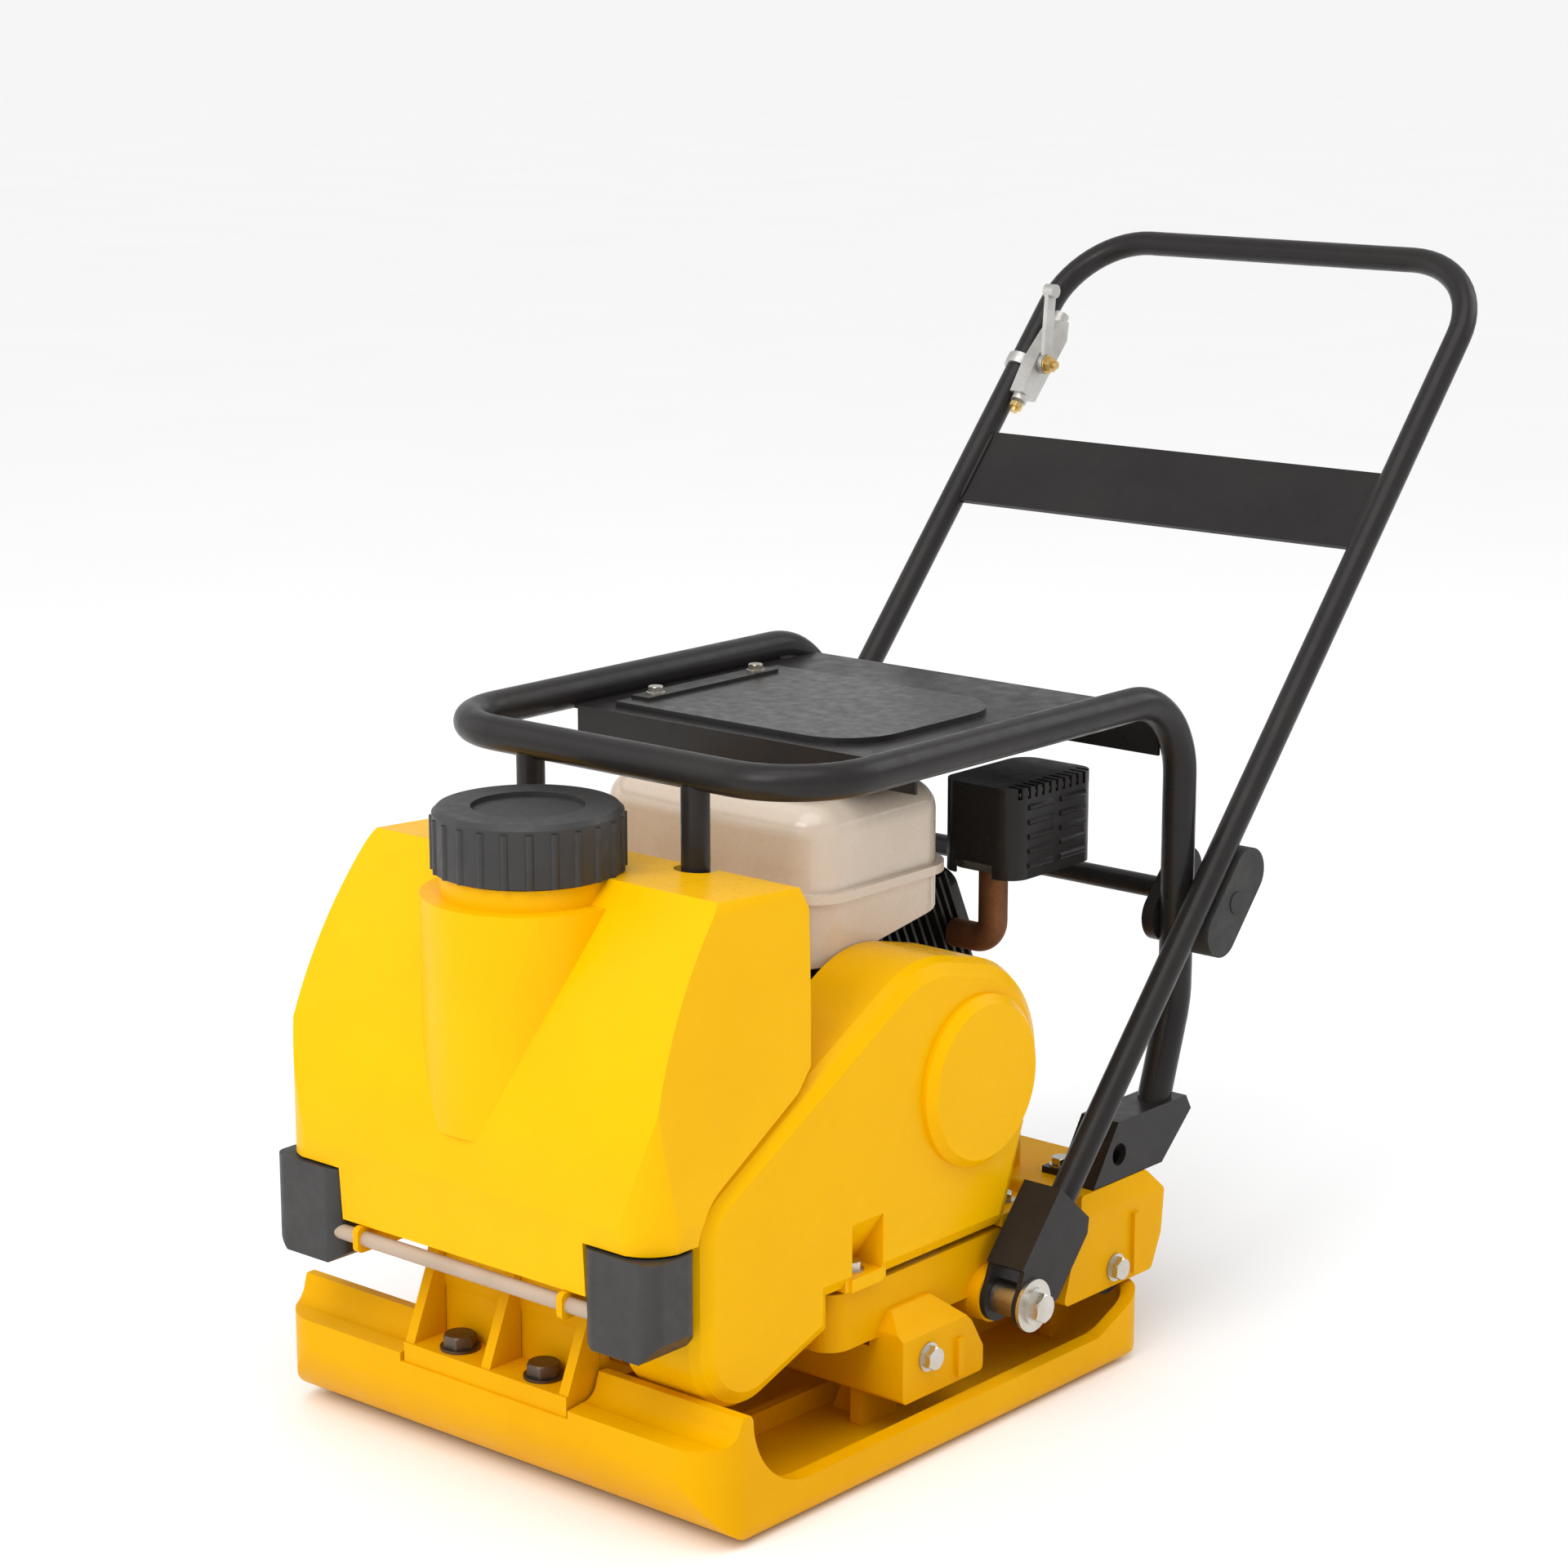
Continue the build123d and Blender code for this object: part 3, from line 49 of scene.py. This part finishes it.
# ---------------------------------------------------------------- materials
class Graph:
    """A material's node tree, with short calls for what the finishes share."""

    def __init__(self, name):
        self.material = bpy.data.materials.new(name)
        self.material.use_nodes = True
        self.tree = self.material.node_tree
        self.shader = self.tree.nodes["Principled BSDF"]
        self.place = self.add("ShaderNodeTexCoord").outputs["Object"]

    def add(self, kind, **settings):
        node = self.tree.nodes.new(kind)
        for key, value in settings.items():
            setattr(node, key, value)
        return node

    def link(self, output, socket):
        self.tree.links.new(output, socket)

    def noise(self, scale, detail=4.0, rough=0.55, stretch=(1, 1, 1)):
        mapping = self.add("ShaderNodeMapping")
        mapping.inputs["Scale"].default_value = stretch
        self.link(self.place, mapping.inputs["Vector"])
        node = self.add("ShaderNodeTexNoise")
        node.inputs["Scale"].default_value = scale
        node.inputs["Detail"].default_value = detail
        node.inputs["Roughness"].default_value = rough
        self.link(mapping.outputs["Vector"], node.inputs["Vector"])
        return node.outputs["Fac"]

    def span(self, value, low, high, to_low=0.0, to_high=1.0):
        node = self.add("ShaderNodeMapRange")
        node.inputs["From Min"].default_value = low
        node.inputs["From Max"].default_value = high
        node.inputs["To Min"].default_value = to_low
        node.inputs["To Max"].default_value = to_high
        self.link(value, node.inputs["Value"])
        return node.outputs["Result"]

    def times(self, a, b):
        node = self.add("ShaderNodeMath", operation="MULTIPLY")
        self.link(a, node.inputs[0])
        self.link(b, node.inputs[1])
        return node.outputs[0]

    def mix(self, factor, a, b):
        """Colour a where factor is 0 and b where it is 1; either may be a colour or a socket."""
        node = self.add("ShaderNodeMix", data_type="RGBA")
        self.link(factor, node.inputs[0])
        for value, socket in ((a, node.inputs[6]), (b, node.inputs[7])):
            if isinstance(value, tuple):
                socket.default_value = (*value, 1.0)
            else:
                self.link(value, socket)
        return node.outputs[2]

    def edges(self, amount):
        """Up to amount on convex edges, broken up by noise."""
        pointed = self.add("ShaderNodeNewGeometry").outputs["Pointiness"]
        worn = self.span(pointed, 0.66, 0.84, 0.0, amount)
        patchy = self.span(self.noise(45, 6, 0.7), 0.52, 0.66)
        return self.times(worn, patchy)

    def bump(self, height, strength, distance):
        node = self.add("ShaderNodeBump")
        node.inputs["Strength"].default_value = strength
        node.inputs["Distance"].default_value = distance
        self.link(height, node.inputs["Height"])
        self.link(node.outputs["Normal"], self.shader.inputs["Normal"])

    def colour(self, socket):
        self.link(socket, self.shader.inputs["Base Color"])

    def roughness(self, value, low, high):
        self.link(self.span(value, 0.3, 0.7, low, high), self.shader.inputs["Roughness"])


def paint(name, colour, shade, rough, grain, grain_depth, bare, coat=0.0, wear=0.0, shine=0.5):
    """Painted metal: patchy tone, grain from what is under it, bare metal on worn edges."""
    g = Graph(name)
    tone = g.mix(g.span(g.noise(9, 5), 0.35, 0.70), colour, shade)
    g.colour(g.mix(g.edges(wear), tone, bare))
    g.shader.inputs["Specular IOR Level"].default_value = shine
    g.roughness(g.noise(60, 5), rough - 0.06, rough + 0.12)
    g.bump(g.noise(grain, 5, 0.6), 0.35, grain_depth)
    g.shader.inputs["Coat Weight"].default_value = coat
    g.shader.inputs["Coat Roughness"].default_value = 0.12
    return g.material


def metal(name, colour, shade, rough, stretch, grain, grain_depth, metallic=1.0):
    """Bare metal: brushed or cast grain and slight staining."""
    g = Graph(name)
    g.colour(g.mix(g.span(g.noise(25, 6), 0.40, 0.72), colour, shade))
    g.shader.inputs["Metallic"].default_value = metallic
    g.roughness(g.noise(grain, 4, 0.6, stretch), rough - 0.08, rough + 0.14)
    g.bump(g.noise(grain, 4, 0.6, stretch), 0.3, grain_depth)
    return g.material


def plastic(name, colour, shade, rough, grain, grain_depth, shine=0.5):
    """Moulded plastic or rubber: patchy tone and fine pitting."""
    g = Graph(name)
    g.colour(g.mix(g.span(g.noise(12, 5), 0.38, 0.68), colour, shade))
    g.shader.inputs["Specular IOR Level"].default_value = shine
    g.roughness(g.noise(90, 4), rough - 0.07, rough + 0.10)
    g.bump(g.noise(grain, 3, 0.5), 0.35, grain_depth)
    return g.material


GREY_EDGE = (0.30, 0.28, 0.25)
YELLOW_EDGE = (0.80, 0.46, 0.03)
YELLOW = (0.88, 0.470, 0.0)
YELLOW_SHADE = (0.86, 0.450, 0.0)
CAST = (0.80, 0.400, 0.0)
CAST_SHADE = (0.75, 0.362, 0.0)
BLACK = (0.018, 0.016, 0.016)
BLACK_SHADE = (0.023, 0.021, 0.020)
FINE = (1, 1, 1)
BRUSHED = (1, 8, 8)
FINISHES = {
    "yellow_paint": paint("yellow_paint", YELLOW, YELLOW_SHADE, 0.24, 300, 0.0002, YELLOW_EDGE,
                          wear=0.2, shine=0.06),
    "yellow_cast": paint("yellow_cast", CAST, CAST_SHADE, 0.36, 420, 0.0009, YELLOW_EDGE,
                         wear=0.3, shine=0.05),
    "yellow_tank": plastic("yellow_tank", YELLOW, YELLOW_SHADE, 0.30, 700, 0.0002, shine=0.08),
    "black_paint": paint("black_paint", BLACK, BLACK_SHADE, 0.30, 260, 0.0002, GREY_EDGE,
                         coat=0.05, shine=0.18),
    "black_plastic": plastic("black_plastic", (0.020, 0.019, 0.019), (0.030, 0.028, 0.027), 0.46,
                             900, 0.0003),
    "black_rubber": plastic("black_rubber", (0.022, 0.021, 0.021), (0.034, 0.032, 0.030), 0.66,
                            650, 0.0004),
    "zinc": metal("zinc", (0.62, 0.60, 0.56), (0.50, 0.46, 0.38), 0.30, FINE, 500, 0.0002),
    "dark_steel": metal("dark_steel", (0.17, 0.13, 0.10), (0.09, 0.07, 0.055), 0.42, FINE, 420, 0.0003),
    "steel": metal("steel", (0.50, 0.49, 0.47), (0.36, 0.34, 0.31), 0.32, BRUSHED, 300, 0.0002),
    "iron": metal("iron", (0.24, 0.23, 0.22), (0.15, 0.13, 0.12), 0.55, FINE, 350, 0.0006),
    "engine_alloy": metal("engine_alloy", (0.58, 0.57, 0.55), (0.44, 0.42, 0.39), 0.44, FINE, 380, 0.0005),
    "dark_alloy": metal("dark_alloy", (0.055, 0.052, 0.050), (0.035, 0.032, 0.030), 0.48, FINE,
                        380, 0.0005, 0.6),
    "brass": metal("brass", (0.72, 0.52, 0.22), (0.52, 0.36, 0.14), 0.32, FINE, 400, 0.0002),
    "pipe_plastic": plastic("pipe_plastic", (0.45, 0.34, 0.25), (0.38, 0.28, 0.20), 0.48, 500, 0.0002),
    "cream_paint": paint("cream_paint", (0.68, 0.57, 0.46), (0.63, 0.52, 0.41), 0.26, 320, 0.0002,
                         GREY_EDGE, 0.5),
    "chrome": metal("chrome", (0.74, 0.73, 0.71), (0.64, 0.61, 0.56), 0.16, FINE, 420, 0.0001),
    "red_paint": paint("red_paint", (0.50, 0.020, 0.012), (0.42, 0.015, 0.010), 0.28, 300, 0.0002,
                       GREY_EDGE, 0.4),
    "red_plastic": plastic("red_plastic", (0.62, 0.015, 0.010), (0.52, 0.012, 0.008), 0.34, 600, 0.0002),
    "glossy_rubber": plastic("glossy_rubber", (0.016, 0.015, 0.015), (0.020, 0.019, 0.018), 0.30,
                             900, 0.00005),
    "rusty_steel": metal("rusty_steel", (0.26, 0.11, 0.045), (0.13, 0.055, 0.028), 0.68, FINE, 260,
                         0.0007, 0.6),
}


def finish_nodes():
    """Every CAD node gets its slot's finish and slightly softened edges."""
    sharp = {"v_belt", "spray_pipe"}
    glossy = {"rubber_flap": "glossy_rubber", "flap_clamped_edge": "glossy_rubber"}
    widths = {
        "water_tank": 0.004,
        "belt_guard": 0.0035,
        "base_plate": 0.003,
        "engine_bed": 0.0025,
        "exciter_housing": 0.002,
        "corner_guards": 0.004,
        "fuel_tank": 0.0015,
        "air_cleaner": 0.0015,
    }
    slots = {part["node"]: part["material_slot"] for part in frame["record"]["subparts"]}
    for name, node in nodes.items():
        node.data.materials.clear()
        node.data.materials.append(FINISHES[glossy.get(name, slots[name])])
        if name in sharp:
            continue
        bevel = node.modifiers.new("soft_edges", "BEVEL")
        bevel.width = widths.get(name, 0.0007)
        bevel.segments = 4 if name in widths else 2
        bevel.limit_method = "ANGLE"
        bevel.angle_limit = math.radians(40)
        bevel.use_clamp_overlap = True
        bevel.harden_normals = False


# ---------------------------------------------------------------- added detail
def add_piece(name, mesh, slot, body):
    piece = bpy.data.objects.new(name, mesh)
    bpy.context.scene.collection.objects.link(piece)
    mesh.materials.append(FINISHES[slot])
    mesh.polygons.foreach_set("use_smooth", [True] * len(mesh.polygons))
    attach(piece, body)


def tube_mesh(name, centres, radii, sides=14):
    """A closed tube through centres, with its own radius at each of them."""
    bm = bmesh.new()
    rings = []
    last = len(centres) - 1
    for i, centre in enumerate(centres):
        along = (centres[min(i + 1, last)] - centres[max(i - 1, 0)]).normalized()
        side = along.cross(Vector((0.31, 0.17, 0.94))).normalized()
        up = along.cross(side).normalized()
        ring = []
        for k in range(sides):
            turn = 2 * math.pi * k / sides
            offset = side * math.cos(turn) + up * math.sin(turn)
            ring.append(bm.verts.new(centre + offset * radii[i]))
        rings.append(ring)
    for first, second in zip(rings, rings[1:]):
        for k in range(sides):
            n = (k + 1) % sides
            bm.faces.new((first[k], first[n], second[n], second[k]))
    bm.faces.new(rings[0][::-1])
    bm.faces.new(rings[-1])
    bmesh.ops.recalc_face_normals(bm, faces=bm.faces)
    mesh = bpy.data.meshes.new(name)
    bm.to_mesh(mesh)
    bm.free()
    return mesh


def weld(name, start, end, radius, body):
    """A weld bead: overlapping ripples from start to end."""
    steps = max(6, int((end - start).length / RIPPLE_PITCH))
    centres = []
    radii = []
    for i in range(steps + 1):
        t = i / steps
        ripple = abs(math.sin(math.pi * 0.5 * i))
        taper = min(1.0, 0.35 + 6 * min(t, 1 - t))
        centres.append(start.lerp(end, t))
        radii.append(radius * taper * (0.82 + 0.18 * ripple))
    add_piece(name, tube_mesh(name, centres, radii, 10), "black_paint", body)


def on_handle(x, across, along):
    """A point given in the handle's own frame, in metres."""
    y = across * math.cos(HANDLE_LEAN) + along * math.sin(HANDLE_LEAN)
    z = along * math.cos(HANDLE_LEAN) - across * math.sin(HANDLE_LEAN)
    return PIVOT + Vector((x, y, z))


def handle_welds():
    """Beads down both faces of the cross plate where it meets each leg."""
    for side, tag in ((-1, "left"), (1, "right")):
        x = side * CROSS_PLATE_X
        for face, name in ((-1, "front"), (1, "back")):
            low = on_handle(x, face * CROSS_PLATE_FACE, CROSS_PLATE_LOW)
            high = on_handle(x, face * CROSS_PLATE_FACE, CROSS_PLATE_HIGH)
            weld(f"cross_plate_weld_{tag}_{name}", low, high, BEAD_RADIUS, "handle")


# ---------------------------------------------------------------- studio
FLOOR_HALF = 90
FLOOR_Z = -0.0005
LIGHT_TARGET = (0.0, 0.1, 0.4)
SOFTBOXES = {
    "key": {"place": (0.2, -3.0, 2.6), "size": 1.8, "power": 48},
    "fill": {"place": (-2.8, -1.6, 1.8), "size": 2.6, "power": 16},
    "rim": {"place": (1.5, 2.8, 2.4), "size": 2.0, "power": 22},
}
CAMERA_AZIMUTH = math.radians(40.64)
CAMERA_ELEVATION = math.radians(12.91)
CAMERA_ROLL = math.radians(-0.04)
CAMERA_PLACE = (2.02756, -2.28798, 1.23167)
CAMERA_LENS = 85.12


def floor():
    """Plain pale ground, just under the plate."""
    bm = bmesh.new()
    bmesh.ops.create_grid(bm, x_segments=1, y_segments=1, size=FLOOR_HALF)
    mesh = bpy.data.meshes.new("floor")
    bm.to_mesh(mesh)
    bm.free()
    ground = bpy.data.objects.new("floor", mesh)
    bpy.context.scene.collection.objects.link(ground)
    g = Graph("floor_white")
    g.colour(g.mix(g.noise(2), (0.90, 0.90, 0.90), (0.93, 0.93, 0.93)))
    g.shader.inputs["Roughness"].default_value = 0.85
    mesh.materials.append(g.material)
    ground.location.z = FLOOR_Z


def softbox(name, place, size, power):
    """A square area light aimed at the machine."""
    light = bpy.data.lights.new(name, "AREA")
    light.energy = power
    light.shape = "RECTANGLE"
    light.size = size
    light.size_y = size
    lamp = bpy.data.objects.new(name, light)
    bpy.context.scene.collection.objects.link(lamp)
    lamp.location = place
    aim = Vector(LIGHT_TARGET) - Vector(place)
    lamp.rotation_euler = aim.to_track_quat("-Z", "Y").to_euler()


def studio():
    """White surroundings, three softboxes and a wide soft sun."""
    world = bpy.data.worlds.new("studio")
    bpy.context.scene.world = world
    world.use_nodes = True
    back = world.node_tree.nodes["Background"]
    back.inputs["Color"].default_value = (1.0, 1.0, 1.0, 1.0)
    back.inputs["Strength"].default_value = 0.70
    for name, box in SOFTBOXES.items():
        softbox(name, **box)
    sun = bpy.data.lights.new("sky", "SUN")
    sun.energy = 1.1
    sun.angle = math.radians(50)
    high = bpy.data.objects.new("sky", sun)
    bpy.context.scene.collection.objects.link(high)
    high.rotation_euler = (math.radians(18), math.radians(12), 0)
    bpy.context.scene.view_settings.view_transform = "Standard"


def camera():
    """The camera, looking at the machine from its front right."""
    back = Vector((math.sin(CAMERA_AZIMUTH) * math.cos(CAMERA_ELEVATION),
                   -math.cos(CAMERA_AZIMUTH) * math.cos(CAMERA_ELEVATION),
                   math.sin(CAMERA_ELEVATION)))
    right = Vector((math.cos(CAMERA_AZIMUTH), math.sin(CAMERA_AZIMUTH), 0.0))
    up = back.cross(right)
    right, up = (right * math.cos(CAMERA_ROLL) + up * math.sin(CAMERA_ROLL),
                 up * math.cos(CAMERA_ROLL) - right * math.sin(CAMERA_ROLL))
    lens = bpy.data.cameras.new("photo_camera")
    lens.lens = CAMERA_LENS
    lens.sensor_width = 36.0
    eye = bpy.data.objects.new("photo_camera", lens)
    bpy.context.scene.collection.objects.link(eye)
    turn = Matrix((right, up, back)).transposed().to_4x4()
    eye.matrix_world = Matrix.Translation(CAMERA_PLACE) @ turn
    bpy.context.scene.camera = eye


finish_nodes()
handle_welds()
floor()
studio()
camera()
